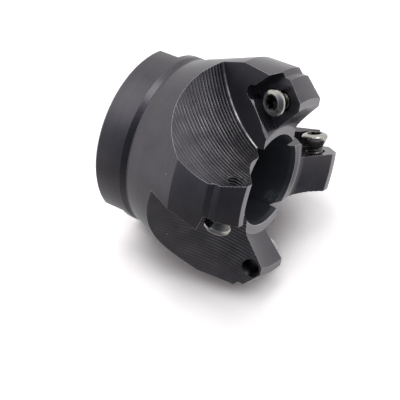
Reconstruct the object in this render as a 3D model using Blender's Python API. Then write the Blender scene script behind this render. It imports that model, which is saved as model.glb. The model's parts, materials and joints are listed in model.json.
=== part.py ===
# 50 mm face mill for 45 degree square inserts, with its four insert screws.
# The mill stands on its mounting face, teeth up, with the tool axis on +Z.
import bpy
import bmesh
from math import cos, pi, radians, sin
from mathutils import Matrix, Vector

MM = 0.001

# Collar and flared flank of the body, from the mounting face up
COLLAR_RADIUS = 23.5 * MM
COLLAR_END = 8.35 * MM
BACK_CHAMFER = 0.6 * MM
GROOVE_WIDTH = 1.8 * MM
GROOVE_DEPTH = 0.8 * MM
GROOVE_FLOOR = 0.3 * MM
SHOULDER_BREAK = 0.4 * MM
FLARE_STEP = 0.1 * MM
FLARE_START_HEIGHT = 10.9 * MM
FLARE_END_HEIGHT = 28.2 * MM

# Turned facets of the teeth, from the largest radius in and from the front down
LAND_RADIUS = 30.1 * MM
LAND_TAPER = 0.25 * MM
STEP_INSET = 1.25 * MM
STEP_RISE = 1.3 * MM
STEP_LAND = 1.6 * MM
FRONT_HEIGHT = 45.7 * MM
FRONT_BEVEL = 4.5 * MM
FRONT_WIDTH = 2.05 * MM
DISH_DEPTH = 5.9 * MM
RING_WIDTH = 2.7 * MM

# Bore for the arbor, neck for its screw and the seat for the screw's head
BORE_RADIUS = 11.0 * MM
BORE_DEPTH = 20.0 * MM
BORE_CHAMFER = 0.8 * MM
NECK_RADIUS = 5.5 * MM
NECK_LENGTH = 5.0 * MM
HEAD_SEAT_RADIUS = 12.05 * MM
MOUTH_FLARE = 0.55 * MM
MOUTH_DEPTH = 1.5 * MM

# Two drive slots across the mounting face, each opening in a small flat
SLOT_WIDTH = 10.4 * MM
SLOT_DEPTH = 6.5 * MM
FLAT_DEPTH = 1.85 * MM

# Teeth and the insert pockets, each with its inner corner in from the step and down from the front
TEETH = 4
SEAT_AZIMUTH = radians(200.1)
AXIAL_RAKE = radians(13.8)
SEAT_OFFSET = -6.94 * MM
POCKET_DEPTH = 4.4 * MM
CORNER_INSET = 5.73 * MM
CORNER_DROP = 14.38 * MM
POCKET_REACH = 16.5 * MM
RELIEF_RADIUS = 1.95 * MM
RELIEF_INSET = 1.1 * MM
RELIEF_SINK = 0.25 * MM

# Gullet in front of each pocket, a round channel with a filleted end wall
GULLET_RADIUS = 30.92 * MM
GULLET_CORE = 11.8 * MM
GULLET_PLACE = radians(137.6)
GULLET_DROP = 0.17 * MM
GULLET_AZIMUTH = radians(203.65)
GULLET_FALL = radians(20.9)
GULLET_LENGTH = 60.0 * MM
GULLET_FILLET = 0.4 * MM

# Insert screw and the threaded hole through the tooth
INSERT_SIZE = 12.7 * MM
REAR_PULL = 0.25 * MM
INNER_PULL = 0.85 * MM
SCREW_RADIUS = 2.2 * MM
SCREW_CLEARANCE = 0.3 * MM
SCREW_HEAD_RADIUS = 3.55 * MM
SCREW_TOP_RADIUS = 2.4 * MM
SCREW_TOP_BEVEL = 0.8 * MM
SCREW_EDGE = 0.3 * MM
SCREW_CONE = 2.7 * MM
SCREW_LENGTH = 10.6 * MM
SCREW_STANDOUTS = (4.1 * MM, 5.1 * MM, 5.1 * MM, 5.1 * MM)
SCREW_TIP = 0.6 * MM
SOCKET_RADIUS = 1.95 * MM
SOCKET_WAIST = 1.45 * MM
SOCKET_DEPTH = 2.0 * MM
HOLE_LENGTH = 17.0 * MM
EXIT_DEPTH = 9.6 * MM
EXIT_CHAMFER = 0.35 * MM

# Facets of the round shapes
BODY_FACETS = 112
GULLET_FACETS = 160
HOLE_FACETS = 32
OVER = 1.0 * MM

for item in list(bpy.data.objects):
    bpy.data.objects.remove(item, do_unlink=True)


def finish(name, colour, metallic, roughness):
    material = bpy.data.materials.new(name)
    material.use_nodes = True
    shader = material.node_tree.nodes["Principled BSDF"]
    shader.inputs["Base Color"].default_value = (*colour, 1.0)
    shader.inputs["Metallic"].default_value = metallic
    shader.inputs["Roughness"].default_value = roughness
    return material


def add_object(name, mesh_data, material=None):
    mesh = bpy.data.meshes.new(name)
    bmesh.ops.recalc_face_normals(mesh_data, faces=mesh_data.faces)
    mesh_data.to_mesh(mesh)
    mesh_data.free()
    part = bpy.data.objects.new(name, mesh)
    bpy.context.scene.collection.objects.link(part)
    if material:
        mesh.materials.append(material)
    return part


def skin_rings(rings):
    # Closed solid through rings of points, with a flat face on each end
    data = bmesh.new()
    loops = [[data.verts.new(point) for point in ring] for ring in rings]
    count = len(loops[0])
    for lower, upper in zip(loops, loops[1:]):
        for i in range(count):
            j = (i + 1) % count
            data.faces.new((lower[i], lower[j], upper[j], upper[i]))
    data.faces.new(loops[0])
    data.faces.new(loops[-1])
    return data


def turned(profile, place=Matrix.Identity(4), facets=BODY_FACETS):
    # Solid of revolution from (radius, height) pairs, bottom to top
    rings = []
    for radius, height in profile:
        ring = []
        for i in range(facets):
            angle = 2 * pi * i / facets
            ring.append(place @ Vector((radius * cos(angle), radius * sin(angle), height)))
        rings.append(ring)
    return skin_rings(rings)


def block(corner, across, along, up):
    # Box from one corner and its three edges
    base = (corner, corner + across, corner + across + along, corner + along)
    return skin_rings((base, [point + up for point in base]))


def carve(part, name, data):
    cutter = add_object(name, data)
    cutter.hide_render = True
    cutter.display_type = "WIRE"
    step = part.modifiers.new(name, "BOOLEAN")
    step.operation = "DIFFERENCE"
    step.solver = "EXACT"
    step.object = cutter


# Frame of the insert seat: out of the seat, across it and along it
seat_out = Vector((cos(SEAT_AZIMUTH) * cos(AXIAL_RAKE), sin(SEAT_AZIMUTH) * cos(AXIAL_RAKE), -sin(AXIAL_RAKE)))
seat_across = seat_out.cross(Vector((0, 0, 1))).normalized()
seat_along = seat_out.cross(seat_across).normalized()
if seat_along.z < 0:
    seat_along = -seat_along
if seat_across.y < 0:
    seat_across = -seat_across


# The square insert lies at 45 degrees, with one wall on the inner side and one at the rear
to_front = (seat_along - seat_across).normalized()
to_outside = (seat_along + seat_across).normalized()

step_radius = LAND_RADIUS - STEP_INSET
corner_across = step_radius - CORNER_INSET
corner_along = FRONT_HEIGHT - CORNER_DROP
pocket_corner = seat_across * corner_across + seat_along * corner_along + seat_out * SEAT_OFFSET
hole_from_rear = INSERT_SIZE / 2 - REAR_PULL
hole_from_inner = INSERT_SIZE / 2 - INNER_PULL


def in_pocket(front, outside):
    # Place on the seat, measured from the rear wall and from the inner wall
    return pocket_corner + to_front * front + to_outside * outside


def along_seat_axis(front, outside):
    # Frame with +Z out of the seat at one place of the pocket
    frame = Matrix((to_front, seat_out.cross(to_front), seat_out)).transposed().to_4x4()
    frame.translation = in_pocket(front, outside)
    return frame


screw_frame = along_seat_axis(hole_from_rear, hole_from_inner)
relief_frame = along_seat_axis(RELIEF_INSET, RELIEF_INSET)

# Body, turned
black_steel = finish("blackened tool steel", (0.062, 0.060, 0.064), 1.0, 0.42)
shoulder_height = COLLAR_END + GROOVE_WIDTH
flare_start_radius = COLLAR_RADIUS + FLARE_STEP
front_outer_radius = step_radius - FRONT_BEVEL
step_height = FRONT_HEIGHT - FRONT_BEVEL - STEP_LAND
ring_height = FRONT_HEIGHT - DISH_DEPTH
mouth_radius = HEAD_SEAT_RADIUS + MOUTH_FLARE
outline = [
    (COLLAR_RADIUS - BACK_CHAMFER, 0.0),
    (COLLAR_RADIUS, BACK_CHAMFER),
    (COLLAR_RADIUS, COLLAR_END),
    (COLLAR_RADIUS - GROOVE_DEPTH, shoulder_height - GROOVE_FLOOR),
    (COLLAR_RADIUS - GROOVE_DEPTH, shoulder_height),
    (flare_start_radius - SHOULDER_BREAK, shoulder_height),
    (flare_start_radius, shoulder_height + SHOULDER_BREAK),
    (flare_start_radius, FLARE_START_HEIGHT),
    (LAND_RADIUS - LAND_TAPER, FLARE_END_HEIGHT),
    (LAND_RADIUS, step_height - STEP_RISE),
    (step_radius, step_height),
    (step_radius, step_height + STEP_LAND),
    (front_outer_radius, FRONT_HEIGHT),
    (front_outer_radius - FRONT_WIDTH, FRONT_HEIGHT),
    (mouth_radius + RING_WIDTH, ring_height),
]
body = add_object("cutter_body", turned(outline), black_steel)

# Arbor bore with its lead-in, the neck, and the seat for the head of the arbor screw
carve(body, "bore_cut", turned([
    (BORE_RADIUS + BORE_CHAMFER + OVER, -OVER),
    (BORE_RADIUS, BORE_CHAMFER),
    (BORE_RADIUS, BORE_DEPTH),
    (NECK_RADIUS, BORE_DEPTH),
    (NECK_RADIUS, BORE_DEPTH + NECK_LENGTH),
    (HEAD_SEAT_RADIUS, BORE_DEPTH + NECK_LENGTH),
    (HEAD_SEAT_RADIUS, ring_height - MOUTH_DEPTH),
    (mouth_radius, ring_height),
    (mouth_radius, ring_height + OVER),
]))

# Drive slots and the flats they open in
for side in (1, -1):
    slot = block(
        Vector((-SLOT_WIDTH / 2, 0.0, -OVER)),
        Vector((SLOT_WIDTH, 0.0, 0.0)),
        Vector((0.0, side * (COLLAR_RADIUS + OVER), 0.0)),
        Vector((0.0, 0.0, SLOT_DEPTH + OVER)),
    )
    carve(body, "slot_cut", slot)
    flat = block(
        Vector((-COLLAR_RADIUS, side * (COLLAR_RADIUS - FLAT_DEPTH), -OVER)),
        Vector((2 * COLLAR_RADIUS, 0.0, 0.0)),
        Vector((0.0, side * (FLAT_DEPTH + OVER), 0.0)),
        Vector((0.0, 0.0, SLOT_DEPTH + OVER)),
    )
    carve(body, "flat_cut", flat)

# Gullet: rings of the channel laid parallel to the seat, smaller where the fillet runs out
channel = Vector((
    cos(GULLET_AZIMUTH) * cos(GULLET_FALL),
    sin(GULLET_AZIMUTH) * cos(GULLET_FALL),
    -sin(GULLET_FALL),
))
channel_side = channel.cross(Vector((0, 0, 1))).normalized()
channel_up = channel_side.cross(channel)
channel_centre = Vector((
    (GULLET_CORE + GULLET_RADIUS) * cos(GULLET_PLACE),
    (GULLET_CORE + GULLET_RADIUS) * sin(GULLET_PLACE),
    FRONT_HEIGHT - GULLET_DROP,
))


def gullet_rings(turn):
    rings = []
    steps = [radians(a) for a in (0, 22.5, 45, 67.5, 90)]
    levels = [(GULLET_FILLET * (1 - cos(a)), GULLET_FILLET * (1 - sin(a))) for a in steps]
    levels.append((GULLET_LENGTH, 0.0))
    for lift, inset in levels:
        ring = []
        for i in range(GULLET_FACETS):
            angle = 2 * pi * i / GULLET_FACETS
            spoke = channel_side * cos(angle) + channel_up * sin(angle)
            point = channel_centre + spoke * (GULLET_RADIUS - inset)
            rise = SEAT_OFFSET + POCKET_DEPTH + lift - seat_out.dot(point)
            point = point + channel * (rise / seat_out.dot(channel))
            ring.append(turn @ point)
        rings.append(ring)
    return rings


for tooth in range(TEETH):
    turn = Matrix.Rotation(2 * pi * tooth / TEETH, 4, "Z")
    carve(body, "gullet_cut", skin_rings(gullet_rings(turn)))
    pocket = block(
        turn @ in_pocket(0.0, 0.0),
        turn @ (to_front * POCKET_REACH),
        turn @ (to_outside * POCKET_REACH),
        turn @ (seat_out * POCKET_REACH),
    )
    carve(body, "pocket_cut", pocket)
    relief = [(RELIEF_RADIUS, -RELIEF_SINK), (RELIEF_RADIUS, POCKET_REACH)]
    carve(body, "relief_cut", turned(relief, turn @ relief_frame, HOLE_FACETS))
    hole_radius = SCREW_RADIUS + SCREW_CLEARANCE
    hole = [
        (hole_radius + EXIT_CHAMFER, -HOLE_LENGTH),
        (hole_radius + EXIT_CHAMFER, -EXIT_DEPTH - EXIT_CHAMFER),
        (hole_radius, -EXIT_DEPTH),
        (hole_radius, -SCREW_CLEARANCE),
        (hole_radius + SCREW_CLEARANCE + OVER, OVER),
    ]
    carve(body, "hole_cut", turned(hole, turn @ screw_frame, HOLE_FACETS))

# Insert screws, each part of the way in, as when the insert has just been taken off
bright_steel = finish("bright screw steel", (0.52, 0.51, 0.49), 1.0, 0.3)
head_low = -SCREW_TOP_BEVEL - SCREW_EDGE
screw_outline = [
    # heights are from the top of the head
    (SCREW_RADIUS - SCREW_TIP, -SCREW_LENGTH),
    (SCREW_RADIUS, -SCREW_LENGTH + SCREW_TIP),
    (SCREW_RADIUS, head_low - SCREW_CONE),
    (SCREW_HEAD_RADIUS, head_low),
    (SCREW_HEAD_RADIUS, -SCREW_TOP_BEVEL),
    (SCREW_HEAD_RADIUS - (SCREW_HEAD_RADIUS - SCREW_TOP_RADIUS) / 4, -SCREW_TOP_BEVEL / 2),
    (SCREW_TOP_RADIUS, 0.0),
]
socket_facets = 36
for tooth in range(TEETH):
    turn = Matrix.Rotation(2 * pi * tooth / TEETH, 4, "Z")
    place = turn @ screw_frame @ Matrix.Translation((0.0, 0.0, SCREW_STANDOUTS[tooth]))
    name = "insert_screw_%d" % (tooth + 1)
    screw = add_object(name, turned(screw_outline, place, HOLE_FACETS), bright_steel.copy())
    rings = []
    for height in (-SOCKET_DEPTH, OVER):
        ring = []
        for i in range(socket_facets):
            angle = 2 * pi * i / socket_facets
            wave = (SOCKET_RADIUS + SOCKET_WAIST) / 2 + (SOCKET_RADIUS - SOCKET_WAIST) / 2 * cos(6 * angle)
            ring.append(place @ Vector((wave * cos(angle), wave * sin(angle), height)))
        rings.append(ring)
    carve(screw, "socket_cut", skin_rings(rings))
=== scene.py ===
import json
import math
import bpy
import bmesh
import numpy as np
from mathutils import Matrix, Vector

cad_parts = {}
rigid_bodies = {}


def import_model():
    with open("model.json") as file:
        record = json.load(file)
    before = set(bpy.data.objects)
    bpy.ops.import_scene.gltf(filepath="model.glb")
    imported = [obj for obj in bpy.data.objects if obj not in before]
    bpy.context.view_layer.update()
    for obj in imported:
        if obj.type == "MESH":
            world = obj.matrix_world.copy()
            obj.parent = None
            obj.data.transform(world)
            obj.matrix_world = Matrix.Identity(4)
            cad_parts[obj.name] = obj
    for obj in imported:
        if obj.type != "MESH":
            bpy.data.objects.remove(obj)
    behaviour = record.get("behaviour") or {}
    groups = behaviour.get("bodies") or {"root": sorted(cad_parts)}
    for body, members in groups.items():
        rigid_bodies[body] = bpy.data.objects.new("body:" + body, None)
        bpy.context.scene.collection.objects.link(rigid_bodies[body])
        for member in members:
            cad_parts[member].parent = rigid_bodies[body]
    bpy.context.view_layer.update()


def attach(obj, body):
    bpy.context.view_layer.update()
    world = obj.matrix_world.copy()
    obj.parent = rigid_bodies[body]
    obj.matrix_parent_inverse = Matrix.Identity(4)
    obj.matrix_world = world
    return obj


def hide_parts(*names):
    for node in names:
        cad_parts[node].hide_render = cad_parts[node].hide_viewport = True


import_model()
mm = 0.001
teeth = 4
rng = np.random.default_rng(7)


def toLinear(hexColour):
    # sRGB hex to the linear colour that the shaders want
    parts = [int(hexColour[i:i + 2], 16) / 255 for i in (1, 3, 5)]
    linear = [c / 12.92 if c <= 0.04045 else ((c + 0.055) / 1.055) ** 2.4 for c in parts]
    return (*linear, 1.0)


def addNode(tree, kind, inputs=None, **settings):
    # One node with its settings; an input takes another node's output, a number or a hex colour
    node = tree.nodes.new(kind)
    for key, value in settings.items():
        setattr(node, key, value)
    for key, value in (inputs or {}).items():
        if isinstance(value, bpy.types.NodeSocket):
            tree.links.new(value, node.inputs[key])
        elif isinstance(value, str):
            node.inputs[key].default_value = toLinear(value)
        else:
            node.inputs[key].default_value = value
    return node


def meshFromRings(name, rings, material):
    # Closed solid through rings of points, an n-gon on each end
    rings = np.asarray(rings)
    count, around = rings.shape[:2]
    faces = []
    for k in range(count - 1):
        a = np.arange(around) + k * around
        b = (np.arange(around) + 1) % around + k * around
        faces.extend(np.stack((a, b, b + around, a + around), 1).tolist())
    faces.append(list(range(around))[::-1])
    faces.append(list(range((count - 1) * around, count * around)))
    mesh = bpy.data.meshes.new(name)
    mesh.from_pydata(rings.reshape(-1, 3).tolist(), [], faces)
    work = bmesh.new()
    work.from_mesh(mesh)
    bmesh.ops.recalc_face_normals(work, faces=work.faces)
    work.to_mesh(mesh)
    work.free()
    mesh.materials.append(material)
    piece = bpy.data.objects.new(name, mesh)
    bpy.context.scene.collection.objects.link(piece)
    return piece


def toothTurn(tooth):
    return Matrix.Rotation(2 * math.pi / teeth * tooth, 4, "Z")


def movedBy(matrix, points):
    # Rows of points, carried along by the matrix
    return points @ np.array(matrix.to_3x3()).T + np.array(matrix.translation)


def turnedRings(profile, facets, matrix=Matrix.Identity(4)):
    # A profile of radius and height in mm, turned round the frame's axis
    angles = np.arange(facets) * 2 * math.pi / facets
    rings = [np.stack((r * np.cos(angles), r * np.sin(angles), np.full(facets, h)), 1) for r, h in profile]
    return movedBy(matrix, np.array(rings) * mm)


def boxRings(origin, across, along, upwards):
    base = np.array([origin, origin + across, origin + across + along, origin + along])
    return np.array([base, base + upwards])


def cutAway(piece, cutters):
    # One boolean after the other, then the result becomes the piece's own mesh
    for cutter in cutters:
        step = piece.modifiers.new(cutter.name, "BOOLEAN")
        step.operation = "DIFFERENCE"
        step.solver = "MANIFOLD"
        step.material_mode = "TRANSFER"   # a cut face keeps its cutter's finish
        step.object = cutter
    bpy.context.view_layer.update()
    ready = piece.evaluated_get(bpy.context.evaluated_depsgraph_get())
    mesh = bpy.data.meshes.new_from_object(ready)
    old = piece.data
    piece.modifiers.clear()
    piece.data = mesh
    bpy.data.meshes.remove(old)
    for cutter in cutters:
        bpy.data.objects.remove(cutter, do_unlink=True)


def roundedProfile(corners, steps=5):
    # Each corner is a radius, a height and the size of its arc; the first and last points stay
    most = 0.45   # an arc takes up no more of the line beside it
    points = []
    for i, (r, h, size) in enumerate(corners):
        if i in (0, len(corners) - 1) or size == 0:
            points.append((r, h))
            continue
        here = Vector((r, h))
        before = Vector(corners[i - 1][:2]) - here
        after = Vector(corners[i + 1][:2]) - here
        turn = math.pi - before.angle(after)
        reach = min(size * math.tan(turn / 2), before.length * most, after.length * most)
        start = here + before.normalized() * reach
        end = here + after.normalized() * reach
        for k in range(steps + 1):
            t = k / steps
            point = start * (1 - t) ** 2 + here * 2 * t * (1 - t) + end * t ** 2
            points.append((point.x, point.y))
    return points


def finishSmooth(piece, angle):
    # Smooth all over but for the edges that turn by more than this many degrees
    mesh = piece.data
    mesh.shade_smooth()
    mesh.set_sharp_from_angle(angle=math.radians(angle))


def steelBase(name, look):
    # Metal whose tone and gloss drift a little over a few millimetres
    driftStart, driftEnd = 0.3, 0.7   # the noise hardly leaves this span
    material = bpy.data.materials.new(name)
    material.use_nodes = True
    tree = material.node_tree
    shader = tree.nodes["Principled BSDF"]
    shader.inputs["Metallic"].default_value = look["metallic"]
    coords = addNode(tree, "ShaderNodeTexCoord").outputs["Object"]
    cloud = addNode(tree, "ShaderNodeTexNoise", {
        "Vector": coords,
        "Scale": 1 / look["cloud"],
        "Detail": 6.0,
        "Roughness": 0.6,
    })
    drift = addNode(tree, "ShaderNodeMapRange", {
        "Value": cloud.outputs["Fac"],
        "From Min": driftStart,
        "From Max": driftEnd,
    }).outputs["Result"]
    gloss = addNode(tree, "ShaderNodeMapRange", {
        "Value": drift,
        "To Min": look["gloss"][0],
        "To Max": look["gloss"][1],
    })
    tree.links.new(gloss.outputs["Result"], shader.inputs["Roughness"])
    tone = addNode(tree, "ShaderNodeMix", {
        "Factor": drift,
        "A": look["dark"],
        "B": look["light"],
    }, data_type="RGBA")
    return material, tree, coords, tone.outputs["Result"]


def addSpecks(tree, coords, tone, look):
    # Sparse pale dots of dust and bare metal, one in a few of the cells
    core = 0.4   # share of a dot that is solid, the rest is its soft rim
    cells = addNode(tree, "ShaderNodeTexVoronoi", {"Vector": coords, "Scale": 1 / look["speckCell"]})
    dot = addNode(tree, "ShaderNodeMapRange", {
        "Value": cells.outputs["Distance"],
        "From Min": look["speckSize"],
        "From Max": look["speckSize"] * core,
    })
    chance = addNode(tree, "ShaderNodeSeparateColor", {"Color": cells.outputs["Color"]})
    chosen = addNode(tree, "ShaderNodeMath", {
        0: chance.outputs["Red"],
        1: 1 - look["speckShare"],
    }, operation="GREATER_THAN")
    shown = addNode(tree, "ShaderNodeMath", {
        0: dot.outputs["Result"],
        1: chosen.outputs[0],
    }, operation="MULTIPLY")
    specked = addNode(tree, "ShaderNodeMix", {
        "Factor": shown.outputs[0],
        "A": tone,
        "B": look["speck"],
    }, data_type="RGBA")
    return specked.outputs["Result"]


def glintAndWearOnEdges(tree, coords, tone, look, height=None):
    # The light sees each edge slightly rounded, and the colour is paler along it in places: partly black
    # rubbed off, partly painted highlight
    flatTurn = 0.99   # cosine of the turn at which an edge begins
    patchStart, patchEnd = 0.35, 0.6   # noise of the least and the most rubbed patches
    leastWearAndGlint = 0.35
    shader = tree.nodes["Principled BSDF"]
    bevel = addNode(tree, "ShaderNodeBevel", {"Radius": look["edgeWidth"]}, samples=6)
    flat = addNode(tree, "ShaderNodeNewGeometry")
    agree = addNode(tree, "ShaderNodeVectorMath", {
        0: bevel.outputs["Normal"],
        1: flat.outputs["Normal"],
    }, operation="DOT_PRODUCT")
    edge = addNode(tree, "ShaderNodeMapRange", {
        "Value": agree.outputs["Value"],
        "From Min": flatTurn,
        "From Max": look["edgeTurn"],
    })
    patches = addNode(tree, "ShaderNodeTexNoise", {
        "Vector": coords,
        "Scale": 1 / look["wearPatch"],
        "Detail": 4.0,
    })
    wearAndGlint = addNode(tree, "ShaderNodeMapRange", {
        "Value": patches.outputs["Fac"],
        "From Min": patchStart,
        "From Max": patchEnd,
        "To Min": leastWearAndGlint,
    })
    amount = addNode(tree, "ShaderNodeMath", {
        0: edge.outputs["Result"],
        1: wearAndGlint.outputs["Result"],
    }, operation="MULTIPLY")
    # pale edge colour: partly rubbed-off black, partly painted highlight
    worn = addNode(tree, "ShaderNodeMix", {
        "Factor": amount.outputs[0],
        "A": tone,
        "B": look["bare"],
    }, data_type="RGBA")
    tree.links.new(worn.outputs["Result"], shader.inputs["Base Color"])
    normal = bevel.outputs["Normal"]
    if height:
        normal = addNode(tree, "ShaderNodeBump", {
            "Height": height,
            "Normal": normal,
            "Strength": 1.0,
            "Distance": look["relief"],
        }).outputs["Normal"]
    tree.links.new(normal, shader.inputs["Normal"])


turnedLook = {
    "metallic": 0.94,   # the rest scatters light, as the oxide does
    "cloud": 6 * mm,
    "dark": "#555257",
    "light": "#5F5C60",
    "gloss": (0.25, 0.33),
    "ringWidth": 0.35 * mm,   # turning marks; the real ones, about 0.1 mm, are too fine to show
    "ringNoise": (0.45, 0.7),   # noise where a mark begins and where it is darkest
    "ringShare": 0.25,
    "ring": "#4A474C",
    "relief": 0.004 * mm,
    "speckCell": 4 * mm,
    "speckSize": 0.05,   # radius of a speck, as a share of its cell
    "speckShare": 0.18,
    "speck": "#A9A7A8",
    # pale edge colour: partly bare steel, partly painted highlight
    "bare": "#D6D4D4",
    "edgeWidth": 0.13 * mm,
    "edgeTurn": 0.97,   # cosine of the turn at which an edge is rubbed in full
    "wearPatch": 3 * mm,
}
# Turned black oxide: dark satin with faint rings round the axis, paler along the edges, partly rubbed and
# partly painted highlight
turnedSteel, tree, coords, tone = steelBase("turned black oxide", turnedLook)
axes = addNode(tree, "ShaderNodeSeparateXYZ", {"Vector": coords})
level = addNode(tree, "ShaderNodeCombineXYZ", {"X": axes.outputs["X"], "Y": axes.outputs["Y"]})
radius = addNode(tree, "ShaderNodeVectorMath", {0: level.outputs[0]}, operation="LENGTH")
across = addNode(tree, "ShaderNodeCombineXYZ", {"X": radius.outputs["Value"], "Y": axes.outputs["Z"]})
rings = addNode(tree, "ShaderNodeTexNoise", {
    "Vector": across.outputs[0],
    "Scale": 1 / turnedLook["ringWidth"],
    "Detail": 3.0,
}, noise_dimensions="2D")
ringTone = addNode(tree, "ShaderNodeMapRange", {
    "Value": rings.outputs["Fac"],
    "From Min": turnedLook["ringNoise"][0],
    "From Max": turnedLook["ringNoise"][1],
    "To Max": turnedLook["ringShare"],
})
tone = addNode(tree, "ShaderNodeMix", {
    "Factor": ringTone.outputs["Result"],
    "A": tone,
    "B": turnedLook["ring"],
}, data_type="RGBA")
tone = addSpecks(tree, coords, tone.outputs["Result"], turnedLook)
glintAndWearOnEdges(tree, coords, tone, turnedLook, rings.outputs["Fac"])

reflectionRingLook = dict(turnedLook, dark="#7E7B7F", light="#8A878B", gloss=(0.28, 0.36))
# Same turned black, coloured paler on the flat ring round the mouth and on the front as painted reflection
reflectionRingSteel, tree, coords, tone = steelBase("black oxide with painted reflection", reflectionRingLook)
glintAndWearOnEdges(tree, coords, tone, reflectionRingLook)

gulletPass = 0.96 * mm   # spacing of the ridges that the ball mill left
ridgeFade = (13, 27)   # far from the end wall the ridges fade out between these passes
ridgeRest = 0.12   # what is left of them beyond
milledLook = {
    "metallic": 0.9,
    "cloud": 5 * mm,
    "dark": "#4A484D",
    "light": "#5B585D",
    "gloss": (0.24, 0.34),
    "crestHighlight": "#DAD8D7",
    "crestWidth": 0.13,   # share of a pass on each side of a crest
    "fillet": "#D2D0D0",   # painted highlight along the round corner that the tool left
    "filletPlace": 0.2,   # middle of that bright line, in passes before the first one
    "filletWidth": (0.08, 0.19),   # reach to each side, without and with its soft rim
    "patch": 4 * mm,   # the painted crest highlights are stronger in some patches than in others
    "patchNoise": (0.38, 0.62),
    "leastWearAndGlint": 0.15,
    "feed": 0.55 * mm,   # step of the tool along a pass, which notches the crests
    "notches": (0.25, 1.3),   # strength of a crest in a notch and beside it
    "grain": 2.0,   # grains to a pass
    "relief": 0.012 * mm,
    "speckCell": 3 * mm,
    "speckSize": 0.06,
    "speckShare": 0.2,
    "speck": "#B4B2B2",
    "bare": "#D8D6D5",
    "edgeWidth": 0.1 * mm,
    "edgeTurn": 0.9,
    "wearPatch": 4 * mm,
}
# Milled black oxide: each pass of the ball mill left a crest, and a pale line painted along each crest stands
# in for its highlight
milledSteel, tree, coords, tone = steelBase("milled black oxide", milledLook)
marks = addNode(tree, "ShaderNodeAttribute", attribute_name="millMarks")
marks = addNode(tree, "ShaderNodeSeparateXYZ", {"Vector": marks.outputs["Vector"]}).outputs
inPass = addNode(tree, "ShaderNodeMath", {0: marks["X"], 1: 0.5}, operation="PINGPONG")
crestHighlight = addNode(tree, "ShaderNodeMapRange", {
    "Value": inPass.outputs[0],
    "From Min": milledLook["crestWidth"],
    "From Max": 0.0,
}, interpolation_type="SMOOTHSTEP")
patches = addNode(tree, "ShaderNodeTexNoise", {
    "Vector": coords,
    "Scale": 1 / milledLook["patch"],
    "Detail": 5.0,
})
wearAndGlint = addNode(tree, "ShaderNodeMapRange", {
    "Value": patches.outputs["Fac"],
    "From Min": milledLook["patchNoise"][0],
    "From Max": milledLook["patchNoise"][1],
    "To Min": milledLook["leastWearAndGlint"],
}).outputs["Result"]
stepsPerPass = gulletPass / milledLook["feed"]
steps = addNode(tree, "ShaderNodeMath", {0: marks["Y"], 1: stepsPerPass}, operation="MULTIPLY")
steps = addNode(tree, "ShaderNodeMath", {0: steps.outputs[0], 1: 0.5}, operation="PINGPONG")
cusps = addNode(tree, "ShaderNodeMapRange", {
    "Value": steps.outputs[0],
    "To Min": milledLook["notches"][0],
    "To Max": milledLook["notches"][1],
})
farOut = addNode(tree, "ShaderNodeMapRange", {
    "Value": marks["X"],
    "From Min": ridgeFade[1],
    "From Max": ridgeFade[0],
    "To Min": ridgeRest,
})
crestAmount = addNode(tree, "ShaderNodeMath", {0: crestHighlight.outputs["Result"], 1: wearAndGlint}, operation="MULTIPLY")
crestAmount = addNode(tree, "ShaderNodeMath", {
    0: crestAmount.outputs[0],
    1: cusps.outputs["Result"],
}, operation="MULTIPLY", use_clamp=True)
for share in (farOut.outputs["Result"], marks["Z"]):
    crestAmount = addNode(tree, "ShaderNodeMath", {0: crestAmount.outputs[0], 1: share}, operation="MULTIPLY")
# painted highlight along the crests of the passes
tone = addNode(tree, "ShaderNodeMix", {
    "Factor": crestAmount.outputs[0],
    "A": tone,
    "B": milledLook["crestHighlight"],
}, data_type="RGBA")
onFillet = addNode(tree, "ShaderNodeMath", {0: marks["X"], 1: milledLook["filletPlace"]}, operation="ADD")
onFillet = addNode(tree, "ShaderNodeMath", {0: onFillet.outputs[0]}, operation="ABSOLUTE")
onFillet = addNode(tree, "ShaderNodeMapRange", {
    "Value": onFillet.outputs[0],
    "From Min": milledLook["filletWidth"][1],
    "From Max": milledLook["filletWidth"][0],
})
onFillet = addNode(tree, "ShaderNodeMath", {0: onFillet.outputs["Result"], 1: wearAndGlint}, operation="MULTIPLY")
# painted highlight along the round corner
tone = addNode(tree, "ShaderNodeMix", {
    "Factor": onFillet.outputs[0],
    "A": tone.outputs["Result"],
    "B": milledLook["fillet"],
}, data_type="RGBA")
tone = addSpecks(tree, coords, tone.outputs["Result"], milledLook)
feed = addNode(tree, "ShaderNodeCombineXYZ", {"X": marks["X"], "Y": marks["Y"]})
grain = addNode(tree, "ShaderNodeTexNoise", {
    "Vector": feed.outputs[0],
    "Scale": milledLook["grain"],
    "Detail": 3.0,
}, noise_dimensions="2D")
glintAndWearOnEdges(tree, coords, tone, milledLook, grain.outputs["Fac"])

wallLook = dict(milledLook, dark="#4C4B51", light="#555459", gloss=(0.45, 0.55))
# The flat wall at the end of the passes: darker to the eye and more matt
wallSteel, tree, coords, tone = steelBase("end wall black oxide", wallLook)
tone = addSpecks(tree, coords, tone, wallLook)
glintAndWearOnEdges(tree, coords, tone, wallLook)

seatLook = {
    "metallic": 0.85,
    "cloud": 8 * mm,
    "dark": "#58565C",
    "light": "#615F65",
    "gloss": (0.22, 0.28),
    "speckCell": 3 * mm,
    "speckSize": 0.05,
    "speckShare": 0.15,
    "speck": "#9C9A9C",
    "bare": "#8F8D90",
    "edgeWidth": 0.09 * mm,
    "edgeTurn": 0.9,
    "wearPatch": 3 * mm,
}
# Finely milled black oxide of the seats and the drive slots: smoother and a little darker
seatSteel, tree, coords, tone = steelBase("smooth black oxide", seatLook)
tone = addSpecks(tree, coords, tone, seatLook)
glintAndWearOnEdges(tree, coords, tone, seatLook)

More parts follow.
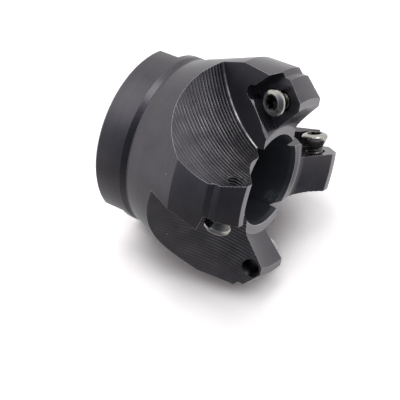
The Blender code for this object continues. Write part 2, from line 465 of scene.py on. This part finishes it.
boreLook = dict(seatLook, metallic=0.5, dark="#3C4046", light="#464A50", gloss=(0.45, 0.55))
boreLook.update({
    "scuff": "#A6A8AB",
    "scuffPlace": (11.1 * mm, -4.7 * mm, 36.4 * mm),
    "scuffReach": 2.6 * mm,
    "scuffGrain": 0.3 * mm,
    "scuffNoise": (0.5, 0.62),
})
# Same black left rougher in the bore, faintly blue in the dark, scuffed at one place of the mouth
boreSteel, tree, coords, tone = steelBase("rough black oxide", boreLook)
away = addNode(tree, "ShaderNodeVectorMath", {0: coords, 1: boreLook["scuffPlace"]}, operation="DISTANCE")
near = addNode(tree, "ShaderNodeMapRange", {
    "Value": away.outputs["Value"],
    "From Min": boreLook["scuffReach"],
    "From Max": 0.0,
})
grain = addNode(tree, "ShaderNodeTexNoise", {
    "Vector": coords,
    "Scale": 1 / boreLook["scuffGrain"],
    "Detail": 3.0,
    "Roughness": 0.7,
})
scratch = addNode(tree, "ShaderNodeMapRange", {
    "Value": grain.outputs["Fac"],
    "From Min": boreLook["scuffNoise"][0],
    "From Max": boreLook["scuffNoise"][1],
})
scuffed = addNode(tree, "ShaderNodeMath", {
    0: near.outputs["Result"],
    1: scratch.outputs["Result"],
}, operation="MULTIPLY")
tone = addNode(tree, "ShaderNodeMix", {
    "Factor": scuffed.outputs[0],
    "A": tone,
    "B": boreLook["scuff"],
}, data_type="RGBA")
glintAndWearOnEdges(tree, coords, tone.outputs["Result"], boreLook)

litEdgeLook = dict(seatLook, metallic=0.9, cloud=0.6 * mm, dark="#6E6C6E", light="#A8A6A6", gloss=(0.35, 0.5))
# Paler colour on the bevel along the pocket's edge: painted light where light reaches the top of the wall
litEdgeSteel, tree, coords, tone = steelBase("pale pocket edge with painted light", litEdgeLook)
glintAndWearOnEdges(tree, coords, tone, litEdgeLook)

threadLook = {
    "metallic": 0.95,
    "cloud": 1.2 * mm,
    "dark": "#545250",
    "light": "#726F6A",
    "gloss": (0.22, 0.34),
    "bare": "#C4C2BF",
    "edgeWidth": 0.05 * mm,
    "edgeTurn": 0.9,
    "wearPatch": 1 * mm,
}
# Steel of the cone and the thread: darker than the head, partly oil and partly painted shade, mid grey with
# soft reflections, and pale on the crests, partly bare and partly painted highlight
shadedThreadSteel, tree, coords, tone = steelBase("oiled thread steel with painted shade", threadLook)
glintAndWearOnEdges(tree, coords, tone, threadLook)

shadedSocketLook = dict(threadLook, dark="#2C2B2D", light="#403F40", bare="#8A8886", gloss=(0.3, 0.42))
# Painted shade darkens the inside of the socket and its mouth
shadedSocketSteel, tree, coords, tone = steelBase("socket steel with painted shade", shadedSocketLook)
glintAndWearOnEdges(tree, coords, tone, shadedSocketLook)

shadedHoleLook = dict(threadLook, dark="#39383C", light="#454448", bare="#B5B3B0", gloss=(0.26, 0.36))
# Tapped black oxide, coloured darker as painted shade inside the hole, with thin pale lines on the crests of
# the thread as painted highlights
shadedHoleSteel, tree, coords, tone = steelBase("tapped black oxide with painted shade", shadedHoleLook)
glintAndWearOnEdges(tree, coords, tone, shadedHoleLook)

screwLook = {
    "metallic": 1.0,
    "cloud": 2 * mm,
    "dark": "#94928F",
    "light": "#BAB6AF",
    "gloss": (0.12, 0.2),
    "bare": "#D2CDC3",
    "edgeWidth": 0.06 * mm,
    "edgeTurn": 0.9,
    "wearPatch": 1 * mm,
}
# Plain polished steel of the screw heads: grey, with bright streaks where it is rounded
screwSteel, tree, coords, tone = steelBase("polished screw steel", screwLook)
glintAndWearOnEdges(tree, coords, tone, screwLook)
print("materials ready")


body = {
    # sizes in mm, as in the solids
    "collarRadius": 23.5,
    "collarEnd": 8.35,
    "collarBreak": 0.6,
    "grooveWidth": 1.8,
    "grooveDepth": 0.8,
    "grooveFloor": 0.3,
    "shoulderBreak": 0.4,
    "flareStart": (23.6, 10.9),   # radius and height
    "flareEnd": (29.85, 28.2),
    "landEnd": (30.1, 38.3),
    "step": (28.85, 39.6, 41.2),   # radius and both heights
    "front": (24.35, 22.3, 45.7),   # both radii and height
    "ring": (15.3, 39.8),
    "dishRound": 3.5,   # the dish runs into the ring in a wide curve
    "bore": 11.0,
    "boreBreak": 0.8,
    "boreEnd": 20.0,
    "neck": 5.5,
    "neckEnd": 25.0,
    "headSeat": 12.05,
    "mouth": 12.6,
    "mouthDepth": 1.5,
    "facets": 420,
    "boreFacets": 300,
    "edge": 0.12,
    # faces this close to the ring and the front, or above this much below the mouth, are coloured paler as
    # painted reflection
    "paleRing": 0.2,
    "paleFront": 0.05,
    "paleMouth": 0.6,
}
past = 1.0   # cutters reach this far past the faces that they cut
collarEdge = body["collarRadius"] - body["collarBreak"]
grooveTop = body["collarEnd"] + body["grooveWidth"]
grooveRadius = body["collarRadius"] - body["grooveDepth"]
ringRadius, ringHeight = body["ring"]
outline = roundedProfile([
    (collarEdge, 0.0, 0),
    (body["collarRadius"], body["collarBreak"], body["edge"]),
    (body["collarRadius"], body["collarEnd"], body["edge"]),
    (grooveRadius, grooveTop - body["grooveFloor"], 0.1),
    (grooveRadius, grooveTop, 0.05),
    (body["flareStart"][0] - body["shoulderBreak"], grooveTop, 0.08),
    (body["flareStart"][0], grooveTop + body["shoulderBreak"], 0.5),
    (*body["flareStart"], 1.0),
    (*body["flareEnd"], 0.3),
    (*body["landEnd"], body["edge"]),
    (body["step"][0], body["step"][1], body["edge"]),
    (body["step"][0], body["step"][2], body["edge"]),
    (body["front"][0], body["front"][2], body["edge"]),
    (body["front"][1], body["front"][2], body["edge"]),
    (ringRadius, ringHeight, body["dishRound"]),
    (body["mouth"] - 2 * past, ringHeight, 0),
])
cutterBody = meshFromRings("mill_body", turnedRings(outline, body["facets"]), turnedSteel)
cutterBody.data.materials.append(reflectionRingSteel)
for face in cutterBody.data.polygons:
    onRing = abs(face.center.z - ringHeight * mm) < body["paleRing"] * mm
    onFront = face.center.z > (body["front"][2] - body["paleFront"]) * mm
    # painted reflection: these faces take the paler ring finish
    face.material_index = int(onRing or onFront)

boreCut = meshFromRings("bore_cut", turnedRings([
    (body["bore"] + body["boreBreak"] + past, -past),
    (body["bore"], body["boreBreak"]),
    (body["bore"], body["boreEnd"]),
    (body["neck"], body["boreEnd"]),
    (body["neck"], body["neckEnd"]),
    (body["headSeat"], body["neckEnd"]),
    # the mouth widens in a steep bevel, eased at both ends
    (body["headSeat"], ringHeight - body["mouthDepth"]),
    (body["headSeat"] + 0.06, ringHeight - body["mouthDepth"] + 0.2),
    (body["mouth"] - 0.06, ringHeight - 0.12),
    (body["mouth"] + 0.05, ringHeight),
    (body["mouth"] + past, ringHeight + past),
], body["boreFacets"]), boreSteel)
boreCut.data.materials.append(reflectionRingSteel)
for face in boreCut.data.polygons:
    # painted reflection: the mouth's upper faces take the paler ring finish
    face.material_index = int(face.center.z > (ringHeight - body["paleMouth"]) * mm)
cutters = [boreCut]

slot = {
    "width": 10.4,
    "depth": 6.5,
    "flat": 21.65,   # distance of the small flat at each mouth from the axis
    "reach": 24.5,
}
for side in (1, -1):
    slotBox = np.array((
        (-slot["width"] / 2, 0, -past),
        (slot["width"], 0, 0),
        (0, side * slot["reach"], 0),
        (0, 0, slot["depth"] + past),
    ))
    flatBox = np.array((
        (-body["collarRadius"], side * slot["flat"], -past),
        (2 * body["collarRadius"], 0, 0),
        (0, side * (slot["reach"] - slot["flat"]), 0),
        (0, 0, slot["depth"] + past),
    ))
    cutters.append(meshFromRings("slot_cut", boxRings(*slotBox * mm), seatSteel))
    cutters.append(meshFromRings("flat_cut", boxRings(*flatBox * mm), seatSteel))

# Frame of an insert seat: out of it, across it and along it
seat = {
    "azimuth": math.radians(200.1),
    "rake": math.radians(13.8),
    "offset": -6.94,
    "pocketDepth": 4.4,
    "cornerAcross": 23.12,
    "cornerAlong": 31.32,
    "reach": 16.5,
    "insert": 12.7,
    "rearPull": 0.25,   # the hole lies closer to both walls, so that the screw pulls the insert in
    "innerPull": 0.85,
    "reliefPlace": 1.1,
    "reliefRadius": 1.95,
    "reliefBelow": 0.25,
    "reliefFacets": 72,
}
seatOut = Vector((
    math.cos(seat["azimuth"]) * math.cos(seat["rake"]),
    math.sin(seat["azimuth"]) * math.cos(seat["rake"]),
    -math.sin(seat["rake"]),
))
seatAcross = seatOut.cross(Vector((0, 0, 1))).normalized()
seatAlong = seatAcross.cross(seatOut).normalized()
toFront = (seatAlong - seatAcross).normalized()
toOutside = (seatAlong + seatAcross).normalized()
corner = (seatAcross * seat["cornerAcross"] + seatAlong * seat["cornerAlong"] + seatOut * seat["offset"]) * mm


def seatFrame(front, outside):
    matrix = Matrix((toFront, seatOut.cross(toFront), seatOut)).transposed().to_4x4()
    matrix.translation = corner + (toFront * front + toOutside * outside) * mm
    return matrix


screwFrame = seatFrame(seat["insert"] / 2 - seat["rearPull"], seat["insert"] / 2 - seat["innerPull"])
reliefFrame = seatFrame(seat["reliefPlace"], seat["reliefPlace"])

# Gullet: a round channel with a scallop for each pass of the milling tool
gullet = {
    "radius": 30.92,
    "core": 11.8,
    "azimuthOfCentre": math.radians(137.6),
    "top": 45.53,
    "azimuth": math.radians(203.65),
    "fall": math.radians(20.9),
    "fillet": 0.4,
    "filletSteps": 6,
    "pass": gulletPass / mm,
    "scallop": 0.075,   # height of the ridges between them
    "scallopSpread": 0.25,
    "scallopLimits": (0.4, 1.6),
    "fadedTooth": 1,   # in front of this tooth they show only towards the bore
    "fadedPlaces": (72, 92),
    "fadedShares": (0.1, 0.8),
    "reach": 46.0,
    "runOut": 14.0,
    "levelsPerPass": 6,
    "metArc": 1.15,   # the channel meets the body within this angle of its middle
    "metHeight": 30.0,
    "fineSteps": 150,
    "coarseSteps": 26,
}
channel = np.array((
    math.cos(gullet["azimuth"]) * math.cos(gullet["fall"]),
    math.sin(gullet["azimuth"]) * math.cos(gullet["fall"]),
    -math.sin(gullet["fall"]),
))
channelSide = np.cross(channel, (0, 0, 1))
channelSide /= np.linalg.norm(channelSide)
channelUp = np.cross(channelSide, channel)
centreOut = gullet["core"] + gullet["radius"]
channelCentre = np.array((
    centreOut * math.cos(gullet["azimuthOfCentre"]),
    centreOut * math.sin(gullet["azimuthOfCentre"]),
    gullet["top"],
))


def gulletAngles():
    # Fine steps only where the channel meets the body
    toAxis = -channelCentre + np.array((0, 0, gullet["metHeight"]))
    middle = math.atan2(toAxis @ channelUp, toAxis @ channelSide)
    fine = np.linspace(-gullet["metArc"], gullet["metArc"], gullet["fineSteps"])
    coarse = np.linspace(gullet["metArc"], 2 * math.pi - gullet["metArc"], gullet["coarseSteps"])[1:-1]
    return middle + np.concatenate((fine, coarse))


def ridgeStrength(tooth, angles):
    # Share of their height and of their painted crest highlight that the ridges have at each place along the
    # passes
    if tooth != gullet["fadedTooth"]:
        return np.ones(len(angles))
    along = -np.arctan2(np.sin(angles), np.cos(angles)) * gullet["radius"] / gullet["pass"]
    return np.interp(along, gullet["fadedPlaces"], gullet["fadedShares"])


def gulletRings(tooth):
    # Levels out of the end wall: the round corner first, then the swell of each pass
    levels = []
    for k in range(gullet["filletSteps"] + 1):
        a = k / gullet["filletSteps"] * math.pi / 2
        levels.append((gullet["fillet"] * (1 - math.cos(a)), gullet["fillet"] * (1 - math.sin(a))))
    passes = int(gullet["reach"] / gullet["pass"])
    heights = rng.normal(1.0, gullet["scallopSpread"], passes).clip(*gullet["scallopLimits"])
    heights *= gullet["scallop"]
    heights *= np.interp(np.arange(passes), ridgeFade, (1, ridgeRest))
    for p in range(passes):
        for k in range(1 if p == 0 else 0, gullet["levelsPerPass"]):
            t = k / gullet["levelsPerPass"]
            swell = heights[p] * (1 - (2 * t - 1) ** 2)
            levels.append((gullet["fillet"] + gullet["pass"] * (p + t), -swell))
    levels.append((gullet["reach"] + gullet["runOut"], 0.0))

    angles = gulletAngles()
    strength = ridgeStrength(tooth, angles)[:, None]
    spokes = np.outer(np.cos(angles), channelSide) + np.outer(np.sin(angles), channelUp)
    out = np.array(seatOut)
    rings = []
    for lift, inset in levels:
        points = channelCentre + spokes * (gullet["radius"] - inset * (1 if inset > 0 else strength))
        rise = seat["offset"] + seat["pocketDepth"] + lift - points @ out
        rings.append((points + np.outer(rise / (out @ channel), channel)) * mm)
    return movedBy(toothTurn(tooth), np.array(rings))


def threadRings(matrix, profile, facets, span, pitch, depth, step=0.1):
    # Round bar whose radius follows a helical thread between two heights
    flank = 0.7   # crest and root are flat beyond this share of the full wave
    fadeLength = 0.3
    angles = np.arange(facets) * 2 * math.pi / facets
    rings = []
    for (r0, h0), (r1, h1) in zip(profile, profile[1:]):
        pieces = max(1, int(abs(h1 - h0) / step)) if r0 == r1 else 1
        for k in range(pieces + (1 if (r1, h1) == profile[-1] else 0)):
            t = k / pieces
            h = h0 + (h1 - h0) * t
            r = np.full(facets, r0 + (r1 - r0) * t)
            if span[0] < h < span[1]:
                phase = (h / pitch - angles / (2 * math.pi)) % 1.0
                fade = min(1.0, (h - span[0]) / fadeLength, (span[1] - h) / fadeLength)
                r = r + depth * fade * (1 - np.abs(2 * phase - 1) * 2).clip(-flank, flank) / (2 * flank)
            rings.append(np.stack((r * np.cos(angles), r * np.sin(angles), np.full(facets, h)), 1))
    return movedBy(matrix, np.array(rings) * mm)


# Pale bevel along the pocket's edge, painted light on the top of the wall, narrowest where the screw shades
# it: place along the wall and size, widest at its ends
litEdgeStrip = ((2.0, 0.5), (3.3, 0.4), (4.4, 0.14), (8.0, 0.12), (9.6, 0.3), (11.5, 0.55), (16.0, 0.55))


def litEdgeRings(turn):
    rings = []
    for along, size in litEdgeStrip:
        middle = corner / mm + toFront * along + seatOut * seat["pocketDepth"]
        spokes = (toOutside, seatOut, -toOutside, -seatOut)
        rings.append([turn.to_3x3() @ (middle + spoke * size) * mm for spoke in spokes])
    return rings


hole = {
    "radius": 2.45,
    "thread": 0.3,
    "threadSpan": (-9.6, -0.6),
    "pitch": 0.8,
    "coneDepth": 0.3,   # the cone at the seat, and how far its cutter goes on out of it
    "coneOut": 1.05,
    "exitDepth": 9.6,
    "exitChamfer": 0.35,
    "end": 17.0,
    "facets": 64,
}
for tooth in range(teeth):
    turn = toothTurn(tooth)
    gulletCut = meshFromRings("gullet_cut", gulletRings(tooth), milledSteel)
    gulletCut.data.materials.append(wallSteel)
    gulletCut.data.polygons[-2].material_index = 1   # its first end, which leaves the flat wall
    reach = seat["reach"] * mm
    edges = [np.array(turn.to_3x3() @ (side * reach)) for side in (toFront, toOutside, seatOut)]
    relief = [(seat["reliefRadius"], -seat["reliefBelow"]), (seat["reliefRadius"], seat["reach"])]
    # painted shade: the tapped hole takes the dark hole colour
    holeRings = threadRings(turn @ screwFrame, [
        (hole["radius"] + hole["exitChamfer"], -hole["end"]),
        (hole["radius"] + hole["exitChamfer"], -hole["exitDepth"] - hole["exitChamfer"]),
        (hole["radius"], -hole["exitDepth"]),
        (hole["radius"], -hole["coneDepth"]),
        (hole["radius"] + hole["coneDepth"] + hole["coneOut"], hole["coneOut"]),
    ], hole["facets"], hole["threadSpan"], hole["pitch"], hole["thread"])
    cutters += [
        gulletCut,
        meshFromRings("pocket_cut", boxRings(np.array(turn @ corner), *edges), seatSteel),
        # painted light: the pale bevel along the top of the pocket wall
        meshFromRings("lit_edge_cut", litEdgeRings(turn), litEdgeSteel),
        meshFromRings("relief_cut", turnedRings(relief, seat["reliefFacets"], turn @ reliefFrame), seatSteel),
        meshFromRings("hole_cut", holeRings, shadedHoleSteel),
    ]
cutAway(cutterBody, cutters)
finishSmooth(cutterBody, 20)


def markPasses():
    # Across and along the milled passes, so that the finish follows the real marks
    points = np.array([v.co for v in cutterBody.data.vertices]) / mm
    best = np.full(len(points), np.inf)
    marks = np.zeros((len(points), 3))
    for tooth in range(teeth):
        back = np.array(toothTurn(-tooth).to_3x3())
        local = points @ back.T
        spoke = local - channelCentre
        side, rise = spoke @ channelSide, spoke @ channelUp
        miss = np.abs(np.hypot(side, rise) - gullet["radius"])
        lift = local @ np.array(seatOut) - seat["offset"] - seat["pocketDepth"]
        passes = (lift - gullet["fillet"]) / gullet["pass"]
        angles = np.arctan2(rise, side)
        along = angles * gullet["radius"] / gullet["pass"]
        miss[passes < -1] = np.inf
        nearer = miss < best
        best[nearer] = miss[nearer]
        marks[nearer] = np.stack((passes, along, ridgeStrength(tooth, angles)), 1)[nearer]
    layer = cutterBody.data.attributes.new("millMarks", "FLOAT_VECTOR", "POINT")
    layer.data.foreach_set("vector", marks.ravel())


markPasses()
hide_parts("cutter_body")
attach(cutterBody, "root")
print("cutter body: %d faces" % len(cutterBody.data.polygons))


screw = {
    "standouts": (4.1, 5.1, 5.1, 5.1),   # one of them is driven deeper
    "headRadius": 3.55,
    "topRadius": 2.4,
    "topBevel": 0.7,
    "edge": 0.6,
    "cone": 2.5,
    "coneBright": 0.45,   # the cone keeps the head's steel this far below the rim, then takes the darker thread colour of oil and painted shade
    "shank": 2.2,
    "threadRoot": 0.25,
    "threadTop": 0.9,   # the thread ends this far above the seat
    "length": 10.6,
    "tip": 0.6,
    "pitch": 0.8,
    "socketRadius": 1.95,
    "socketWaist": 1.45,
    "socketDepth": 2.0,
    "socketPoint": 0.7,
    "mouthFoot": (1.3, -0.45),   # round bevel along the socket's upper edge
    "mouthRadius": 2.12,
    "facets": 96,
    "lobeFacets": 144,
}


def sixLobes(scale, height):
    angles = np.arange(screw["lobeFacets"]) * 2 * math.pi / screw["lobeFacets"]
    middle = (screw["socketRadius"] + screw["socketWaist"]) / 2
    wave = middle + (screw["socketRadius"] - screw["socketWaist"]) / 2 * np.cos(6 * angles)
    flat = (wave * scale * np.cos(angles), wave * scale * np.sin(angles))
    return np.stack((*flat, np.full(screw["lobeFacets"], height)), 1)


def insertScrew(name, matrix, threadEnd):
    # Heights are from the top of the head; the head is domed down to a narrow rim
    headLow = -screw["topBevel"] - screw["edge"]
    neckEnd = headLow - screw["cone"]
    brightLow = headLow - screw["coneBright"]
    core = screw["shank"] - screw["threadRoot"] / 2
    brightEnd = screw["headRadius"] - (screw["headRadius"] - core) * screw["coneBright"] / screw["cone"]
    domeRadius = screw["headRadius"] - (screw["headRadius"] - screw["topRadius"]) / 4
    shank = [
        (core - screw["tip"], -screw["length"]),
        (core, -screw["length"] + screw["tip"]),
        (core, neckEnd),
    ]
    head = roundedProfile([
        (core, neckEnd, 0),
        (brightEnd, brightLow, 0),
        (screw["headRadius"], headLow, 0.12),
        (screw["headRadius"], -screw["topBevel"], 0.15),
        (domeRadius, -screw["topBevel"] / 2, 0.2),
        (screw["topRadius"], 0, 0.2),
        (screw["topRadius"] - 0.2, 0, 0),
    ])
    span = (-screw["length"] + 0.3, threadEnd)
    rings = threadRings(matrix, shank, screw["facets"], span, screw["pitch"], screw["threadRoot"], 0.08)
    rings = np.concatenate((rings, turnedRings(head[1:], screw["facets"], matrix)))
    piece = meshFromRings(name, rings, screwSteel)
    piece.data.materials.append(shadedThreadSteel)
    toScrew = matrix.inverted()
    for face in piece.data.polygons:
        # oil and painted shade: the cone and thread below this height take the darker thread colour
        face.material_index = int((toScrew @ face.center).z < brightLow * mm)
    # the drilled point, then the slightly tapered lobes
    socket = np.array((
        sixLobes(0.15, -screw["socketDepth"] - screw["socketPoint"]),
        sixLobes(0.97, -screw["socketDepth"]),
        sixLobes(1.0, 1.0),
    ))
    mouth = [screw["mouthFoot"], (screw["mouthRadius"], 0.02), (screw["mouthRadius"] + 0.5, 0.5)]
    # painted shade: the socket and its mouth take the dark socket colour
    cutAway(piece, [
        meshFromRings("mouth_cut", turnedRings(mouth, screw["facets"], matrix), shadedSocketSteel),
        meshFromRings("socket_cut", movedBy(matrix, socket * mm), shadedSocketSteel),
    ])
    finishSmooth(piece, 30)
    return piece


for tooth, standout in enumerate(screw["standouts"]):
    topFrame = toothTurn(tooth) @ screwFrame @ Matrix.Translation((0, 0, standout * mm))
    piece = insertScrew("screw_%d" % (tooth + 1), topFrame, screw["threadTop"] - standout)
    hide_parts("insert_screw_%d" % (tooth + 1))
    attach(piece, "root")
print("screws ready")


# The camera stands and looks as the photo's did
camera = bpy.data.objects.new("camera", bpy.data.cameras.new("camera"))
bpy.context.scene.collection.objects.link(camera)
camera.data.sensor_width = 36
camera.data.lens = 112.83
camera.data.clip_start = 0.01
camera.matrix_world = Matrix((
    (0.4596174, -0.0684213, -0.8854775, -0.2969854),
    (0.3412850, 0.9340801, 0.1049711, 0.0231518),
    (0.8199246, -0.3504468, 0.4526706, 0.1742585),
    (0, 0, 0, 1),
))
bpy.context.scene.camera = camera

stageLook = {
    "up": (-0.7126, 0.693, 0.111),   # the mill lies on its side on the floor, as in the photo
    "bright": (0.589, 0.676, -0.442),   # towards the white wall that stands behind the mill
    "floorSize": 1.6,
    "paper": "#F8F0F2",   # the shadow on the paper is faintly warm
    "glow": 0.6,   # share of plain white that the floor gives to the camera
    "glowReach": 34 * mm,   # closer to the mill than this the glow fades out, which paints a shadow round the mill
    "glowOpen": (0.36, 0.7),   # open share of the sky without glow and with all of it
    # the floor as the metal sees it: towards the wall, then in front, near and far from the mill
    "floorWall": 0.9,
    "floorNear": 0.42,
    "floorFar": 0.07,
    "floorReach": (35 * mm, 100 * mm),
    "floorTurn": (-0.85, -0.1),   # cosines to the wall's side where the change starts and ends
    "floorShade": "#7C7C7C",
    # the room as the metal sees it: the white wall, and darker and cooler where the mill faces
    "wall": 1.1,
    "room": 0.185,
    "roomTint": "#E1EEFF",
    "roomTurn": (-0.8, 0.1),
    "fill": 0.4,   # light of the room on matt surfaces
    # lamps as the metal sees them: direction, sine of the half angle, soft rim, strength
    "lamps": (
        ((-0.53, 0.76, 0.34), 0.25, 0.01, 1.9),
        ((-0.72, 0.47, -0.51), 0.4, 0.08, 0.4),
    ),
    "softbox": (-0.55, 0.59, -0.08),
    "softboxAim": (0, 0, 0.02),
    "softboxSize": 0.4,
    "softboxPower": 3.0,
}
up = Vector(stageLook["up"]).normalized()
bright = Vector(stageLook["bright"]).normalized()


def towardsWall(tree, direction, turn):
    # 0 on the room's side and 1 on the white wall's side
    along = addNode(tree, "ShaderNodeVectorMath", {0: direction, 1: bright}, operation="DOT_PRODUCT")
    return addNode(tree, "ShaderNodeMapRange", {
        "Value": along.outputs["Value"],
        "From Min": turn[0],
        "From Max": turn[1],
    }, interpolation_type="SMOOTHSTEP").outputs["Result"]


def floorMaterial():
    # White paper; metal sees it bright towards the wall and grey on the room's side
    material = bpy.data.materials.new("white paper floor")
    material.use_nodes = True
    tree = material.node_tree
    tree.nodes.clear()
    path = addNode(tree, "ShaderNodeLightPath").outputs
    geometry = addNode(tree, "ShaderNodeNewGeometry").outputs

    paper = addNode(tree, "ShaderNodeBsdfDiffuse", {"Color": stageLook["paper"]})
    # painted shadow: the glow fades where the mill shuts out the sky
    sky = addNode(tree, "ShaderNodeAmbientOcclusion", {"Distance": stageLook["glowReach"]}, samples=12)
    openShare = addNode(tree, "ShaderNodeMapRange", {
        "Value": sky.outputs["AO"],
        "From Min": stageLook["glowOpen"][0],
        "From Max": stageLook["glowOpen"][1],
        "To Max": stageLook["glow"],
    })
    glow = addNode(tree, "ShaderNodeEmission", {
        "Strength": openShare.outputs["Result"],
        "Color": "#FFFFFF",
    })
    seen = addNode(tree, "ShaderNodeAddShader", {0: paper.outputs[0], 1: glow.outputs[0]})

    direction = addNode(tree, "ShaderNodeVectorMath", {0: geometry["Position"]}, operation="NORMALIZE")
    distance = addNode(tree, "ShaderNodeVectorMath", {0: geometry["Position"]}, operation="LENGTH")
    front = addNode(tree, "ShaderNodeMapRange", {
        "Value": distance.outputs["Value"],
        "From Min": stageLook["floorReach"][0],
        "From Max": stageLook["floorReach"][1],
        "To Min": stageLook["floorNear"],
        "To Max": stageLook["floorFar"],
    }, interpolation_type="SMOOTHSTEP")
    level = addNode(tree, "ShaderNodeMix", {
        "Factor": towardsWall(tree, direction.outputs[0], stageLook["floorTurn"]),
        "A": front.outputs["Result"],
        "B": stageLook["floorWall"],
    }, data_type="FLOAT")
    shade = addNode(tree, "ShaderNodeBsdfDiffuse", {"Color": stageLook["floorShade"]})
    lit = addNode(tree, "ShaderNodeEmission", {"Strength": level.outputs["Result"]})
    mirrored = addNode(tree, "ShaderNodeAddShader", {0: shade.outputs[0], 1: lit.outputs[0]})

    # from below it is clear, and no lamp is shut out by it
    clear = addNode(tree, "ShaderNodeBsdfTransparent")
    hidden = addNode(tree, "ShaderNodeMath", {
        0: geometry["Backfacing"],
        1: path["Is Shadow Ray"],
    }, operation="MAXIMUM")
    result = paper
    for share, shader in (
        (path["Is Camera Ray"], seen),
        (path["Is Glossy Ray"], mirrored),
        (hidden.outputs[0], clear),
    ):
        result = addNode(tree, "ShaderNodeMixShader", {
            "Fac": share,
            1: result.outputs[0],
            2: shader.outputs[0],
        })
    addNode(tree, "ShaderNodeOutputMaterial", {"Surface": result.outputs[0]})
    return material


def layFloor():
    lowest = min(up.dot(v.co) for v in cutterBody.data.vertices)
    h = stageLook["floorSize"] / 2
    mesh = bpy.data.meshes.new("floor")
    mesh.from_pydata([(-h, -h, 0), (h, -h, 0), (h, h, 0), (-h, h, 0)], [], [(0, 1, 2, 3)])
    mesh.materials.append(floorMaterial())
    floor = bpy.data.objects.new("floor", mesh)
    tilt = Vector((0, 0, 1)).rotation_difference(up).to_matrix().to_4x4()
    floor.matrix_world = Matrix.Translation(up * lowest) @ tilt
    bpy.context.scene.collection.objects.link(floor)


def hangSoftbox():
    light = bpy.data.lights.new("softbox", "AREA")
    light.shape = "SQUARE"
    light.size = stageLook["softboxSize"]
    light.energy = stageLook["softboxPower"]
    softbox = bpy.data.objects.new("softbox", light)
    softbox.location = stageLook["softbox"]
    aim = Vector(stageLook["softboxAim"]) - Vector(stageLook["softbox"])
    softbox.rotation_euler = aim.to_track_quat("-Z", "Y").to_euler()
    softbox.visible_glossy = False   # the metal sees the paper and the lamps of the world instead
    bpy.context.scene.collection.objects.link(softbox)


def lightWorld():
    # White wall behind the mill, darker room in front of it, plain white to the camera
    world = bpy.data.worlds.new("studio")
    bpy.context.scene.world = world
    world.use_nodes = True
    tree = world.node_tree
    tree.nodes.clear()
    path = addNode(tree, "ShaderNodeLightPath").outputs
    direction = addNode(tree, "ShaderNodeTexCoord").outputs["Generated"]
    side = towardsWall(tree, direction, stageLook["roomTurn"])
    strength = addNode(tree, "ShaderNodeMapRange", {
        "Value": side,
        "To Min": stageLook["room"],
        "To Max": stageLook["wall"],
    })
    for towards, reach, soft, power in stageLook["lamps"]:
        rim = math.sqrt(1 - reach ** 2)
        lamp = addNode(tree, "ShaderNodeVectorMath", {
            0: direction,
            1: Vector(towards).normalized(),
        }, operation="DOT_PRODUCT")
        lamp = addNode(tree, "ShaderNodeMapRange", {
            "Value": lamp.outputs["Value"],
            "From Min": rim - soft,
            "From Max": rim + soft,
            "To Max": power,
        }, interpolation_type="SMOOTHSTEP")
        strength = addNode(tree, "ShaderNodeMath", {
            0: strength.outputs[0],
            1: lamp.outputs["Result"],
        }, operation="ADD")
    tint = addNode(tree, "ShaderNodeMix", {
        "Factor": side,
        "A": stageLook["roomTint"],
        "B": "#FFFFFF",
    }, data_type="RGBA")
    room = addNode(tree, "ShaderNodeBackground", {
        "Strength": strength.outputs[0],
        "Color": tint.outputs["Result"],
    })
    fill = addNode(tree, "ShaderNodeBackground", {"Strength": stageLook["fill"], "Color": "#FFFFFF"})
    white = addNode(tree, "ShaderNodeBackground", {"Strength": 1.0, "Color": "#FFFFFF"})
    result = fill
    for share, shader in ((path["Is Glossy Ray"], room), (path["Is Camera Ray"], white)):
        result = addNode(tree, "ShaderNodeMixShader", {
            "Fac": share,
            1: result.outputs[0],
            2: shader.outputs[0],
        })
    addNode(tree, "ShaderNodeOutputWorld", {"Surface": result.outputs[0]})


layFloor()
hangSoftbox()
lightWorld()
bpy.context.scene.view_settings.view_transform = "Standard"
print("stage ready")
